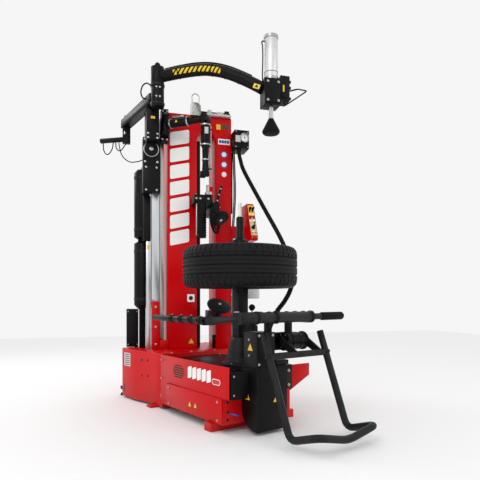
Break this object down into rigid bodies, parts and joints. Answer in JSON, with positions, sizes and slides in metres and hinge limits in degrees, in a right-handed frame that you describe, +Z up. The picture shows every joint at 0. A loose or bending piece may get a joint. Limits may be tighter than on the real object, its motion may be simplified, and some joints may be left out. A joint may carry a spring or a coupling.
{
  "type": "tyre changer",
  "caption": "Free-standing centre-clamp tyre changer with a portal column, bead press arm, mounting tool, bead discs, wheel lift and a clamped wheel.",
  "frame": {"origin": "on the floor under the centre of the bounding box", "axes": "+Z up, +X along the column's face to the right as seen from the operator's side, +Y towards the back of the machine"},
  "size_m": [1.4264, 2.128, 2.5],
  "materials": {
    "red_paint": "glossy red powder coat",
    "black_paint": "satin black powder coat",
    "grey_paint": "dark grey enamel",
    "aluminium": "clear anodised extrusion",
    "bright_steel": "zinc-plated and ground steel",
    "rubber": "black rubber",
    "tyre_rubber": "tyre rubber",
    "alloy": "cast alloy wheel, silver lacquer",
    "plastic": "moulded black nylon"
  },
  "bodies": {
    "frame": {"base_box": "red_paint", "cabinet": "red_paint", "side_panel": "red_paint", "deck_plate": "black_paint", "foot_front": "red_paint", "foot_middle": "red_paint", "foot_rear_left": "rubber", "foot_rear_right": "rubber", "column": "red_paint", "column_cap": "grey_paint", "guide_rail": "aluminium", "guide_strip": "bright_steel", "window_rail": "black_paint", "guide_tube": "red_paint", "air_tanks": "black_paint", "electric_box": "plastic", "gearbox": "grey_paint", "lift_tower": "black_paint", "lift_bracket": "black_paint", "lift_crossbar": "grey_paint", "console_box": "red_paint", "gauge_box": "black_paint", "conduit": "rubber"},
    "turntable": {"drive_post": "black_paint", "wheel_flange": "bright_steel", "rim_barrel": "alloy", "rim_disc": "alloy", "tyre": "tyre_rubber"},
    "wheel_clamp": {"clamp_nut": "black_paint"},
    "tool_lift_carriage": {"tool_carriage": "black_paint"},
    "tool_swing_arm": {"tool_arm": "black_paint"},
    "tool_reach_slide": {"tool_slide": "bright_steel", "tool_bracket": "bright_steel"},
    "tool_hook_leg": {"tool_leg": "black_paint"},
    "upper_disc_slider": {"upper_disc_carriage": "black_paint"},
    "upper_disc_ram": {"upper_disc_arm": "black_paint"},
    "upper_bead_disc": {"upper_disc": "plastic"},
    "lower_disc_slider": {"lower_disc_carriage": "black_paint"},
    "lower_disc_ram": {"lower_disc_arm": "black_paint"},
    "lower_bead_disc": {"lower_disc": "plastic"},
    "press_lift_carriage": {"press_carriage": "black_paint", "press_beam": "black_paint", "press_hose": "rubber", "cable_loop": "rubber"},
    "press_swing_arm": {"press_arm": "black_paint", "press_valve": "plastic", "press_cylinder": "aluminium", "press_handle": "black_paint"},
    "press_ram": {"press_rod": "bright_steel", "press_cone": "rubber"},
    "wheel_cradle": {"cradle": "grey_paint"},
    "side_swing_arm": {"side_arm": "grey_paint"},
    "side_roller_body": {"side_roller": "black_paint"},
    "end_roller_body": {"end_roller": "rubber"},
    "rear_roller_body": {"rear_roller": "rubber"},
    "left_toggle": {"toggle_left": "plastic"},
    "right_toggle": {"toggle_right": "plastic"},
    "pressure_knob": {"console_knob": "plastic"},
    "lift_handle": {"lift_lever": "plastic"},
    "needle": {"gauge_needle": "bright_steel"}
  },
  "joints": [
    {"name": "turntable_spin", "type": "hinge", "parent": "frame", "child": "turntable", "pos_m": [0.134, -0.27634, 0.9505], "axis": [0, 0, 1], "continuous": true},
    {"name": "clamp_lift", "type": "slide", "parent": "turntable", "child": "wheel_clamp", "axis": [0, 0, 1], "range_m": [0, 0.2]},
    {"name": "press_lift", "type": "slide", "parent": "frame", "child": "press_lift_carriage", "axis": [0, 0, -1], "range_m": [0, 0.35]},
    {"name": "press_swing", "type": "hinge", "parent": "press_lift_carriage", "child": "press_swing_arm", "pos_m": [-0.31803, 0.2517, 2.31], "axis": [0, 0, 1], "range_deg": [-70, 25]},
    {"name": "press_stroke", "type": "slide", "parent": "press_swing_arm", "child": "press_ram", "axis": [0, 0, -1], "range_m": [0, 0.3]},
    {"name": "tool_lift", "type": "slide", "parent": "frame", "child": "tool_lift_carriage", "axis": [0, 0, -1], "range_m": [0, 0.45]},
    {"name": "tool_swing", "type": "hinge", "parent": "tool_lift_carriage", "child": "tool_swing_arm", "pos_m": [-0.24403, 0.4157, 2.04], "axis": [0, 0, -1], "range_deg": [-5, 45]},
    {"name": "tool_reach", "type": "slide", "parent": "tool_swing_arm", "child": "tool_reach_slide", "axis": [0.7841, -0.6206, 0], "range_m": [0, 0.1]},
    {"name": "tool_tilt", "type": "hinge", "parent": "tool_reach_slide", "child": "tool_hook_leg", "pos_m": [0.01497, 0.2107, 2.04], "axis": [0.6206, 0.7841, 0], "range_deg": [-25, 10]},
    {"name": "upper_disc_lift", "type": "slide", "parent": "frame", "child": "upper_disc_slider", "axis": [0, 0, 1], "range_m": [-0.3, 0.25]},
    {"name": "upper_disc_reach", "type": "slide", "parent": "upper_disc_slider", "child": "upper_disc_ram", "axis": [0, -1, 0], "range_m": [0, 0.15]},
    {"name": "upper_disc_spin", "type": "hinge", "parent": "upper_disc_ram", "child": "upper_bead_disc", "pos_m": [0.13397, 0.3037, 1.362], "axis": [0.2488, -0.6171, -0.7465], "continuous": true},
    {"name": "lower_disc_lift", "type": "slide", "parent": "frame", "child": "lower_disc_slider", "axis": [0, 0, -1], "range_m": [-0.2, 0.12]},
    {"name": "lower_disc_reach", "type": "slide", "parent": "lower_disc_slider", "child": "lower_disc_ram", "axis": [0, -1, 0], "range_m": [0, 0.15]},
    {"name": "lower_disc_spin", "type": "hinge", "parent": "lower_disc_ram", "child": "lower_bead_disc", "pos_m": [0.11997, 0.2557, 0.694], "axis": [0.1003, -0.6018, 0.7923], "continuous": true},
    {"name": "lift_tilt", "type": "hinge", "parent": "frame", "child": "wheel_cradle", "pos_m": [0.32916, -0.5227, 0.513], "axis": [-0.9333, -0.359, 0], "range_deg": [0, 55]},
    {"name": "side_arm_swing", "type": "hinge", "parent": "frame", "child": "side_swing_arm", "pos_m": [-0.03968, -0.83815, 0.66], "axis": [0, 0, 1], "range_deg": [0, 70]},
    {"name": "side_roller_spin", "type": "hinge", "parent": "side_swing_arm", "child": "side_roller_body", "pos_m": [-0.3231, -0.76289, 0.66], "axis": [-0.359, 0.9333, 0], "continuous": true},
    {"name": "end_roller_spin", "type": "hinge", "parent": "frame", "child": "end_roller_body", "pos_m": [0.61368, -0.56325, 0.66], "axis": [0.9333, 0.359, 0], "continuous": true},
    {"name": "rear_roller_spin", "type": "hinge", "parent": "frame", "child": "rear_roller_body", "pos_m": [0.28501, -0.61683, 0.673], "axis": [0.9333, 0.359, 0], "continuous": true},
    {"name": "toggle_left_tip", "type": "hinge", "parent": "frame", "child": "left_toggle", "pos_m": [0.38597, 0.35995, 1.4364], "axis": [1, 0, 0], "range_deg": [-12, 12], "stiffness_Nm_per_rad": 0.5},
    {"name": "toggle_right_tip", "type": "hinge", "parent": "frame", "child": "right_toggle", "pos_m": [0.40897, 0.35995, 1.4364], "axis": [1, 0, 0], "range_deg": [-12, 12], "stiffness_Nm_per_rad": 0.5},
    {"name": "console_knob_turn", "type": "hinge", "parent": "frame", "child": "pressure_knob", "pos_m": [0.39597, 0.29546, 1.29433], "axis": [0, -0.9171, 0.3987], "range_deg": [-60, 60]},
    {"name": "lift_lever_tip", "type": "hinge", "parent": "frame", "child": "lift_handle", "pos_m": [0.2768, -0.0607, 0.6275], "axis": [0.9333, 0.359, 0], "range_deg": [-15, 15], "stiffness_Nm_per_rad": 3},
    {"name": "gauge_needle_turn", "type": "hinge", "parent": "frame", "child": "needle", "pos_m": [0.36097, 0.4079, 1.996], "axis": [0, 1, 0], "range_deg": [0, 270], "stiffness_Nm_per_rad": 0.002}
  ]
}
